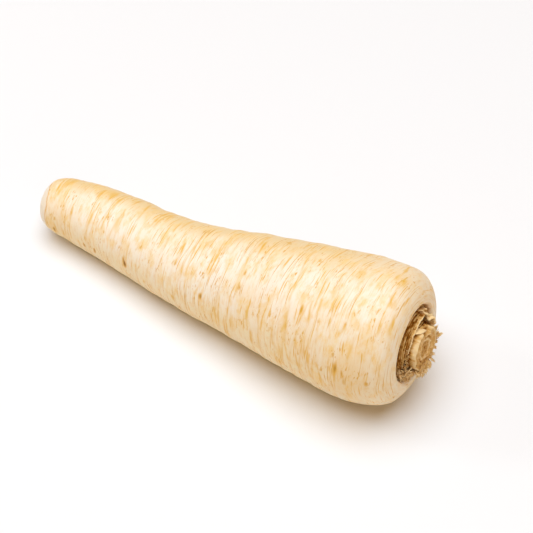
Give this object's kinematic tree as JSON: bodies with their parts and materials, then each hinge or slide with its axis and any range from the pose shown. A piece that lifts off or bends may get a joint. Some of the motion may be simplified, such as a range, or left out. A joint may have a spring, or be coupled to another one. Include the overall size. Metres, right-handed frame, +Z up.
{
  "type": "parsley root",
  "caption": "Thick tapering pale root lying on its side, thin end cut off, broad shoulder, and a cut leaf-stalk stump sunk in the crown.",
  "frame": {"origin": "middle of the bounding box's underside, on the surface the root lies on", "axes": "+X along the root towards the crown, +Z up from the surface it lies on"},
  "size_m": [0.1976, 0.0592, 0.0598],
  "materials": {
    "skin": "satin cream-ivory root skin with ochre rings and flecks; the cut end is bare off-white flesh",
    "stalk": "dry fibrous tan stalk, paler at the rim of the cut",
    "dry_leaf_1": "dry papery brown leaf base",
    "dry_leaf_2": "dry papery brown leaf base",
    "dry_leaf_3": "dry papery brown leaf base",
    "dry_leaf_4": "dry papery brown leaf base",
    "dry_leaf_5": "dry papery brown leaf base",
    "dry_leaf_6": "dry papery brown leaf base"
  },
  "bodies": {
    "root": {"root": "skin", "stalk_stump": "stalk", "leaf_base_1": "dry_leaf_1", "leaf_base_2": "dry_leaf_2", "leaf_base_3": "dry_leaf_3", "leaf_base_4": "dry_leaf_4", "leaf_base_5": "dry_leaf_5", "leaf_base_6": "dry_leaf_6"}
  },
  "joints": []
}
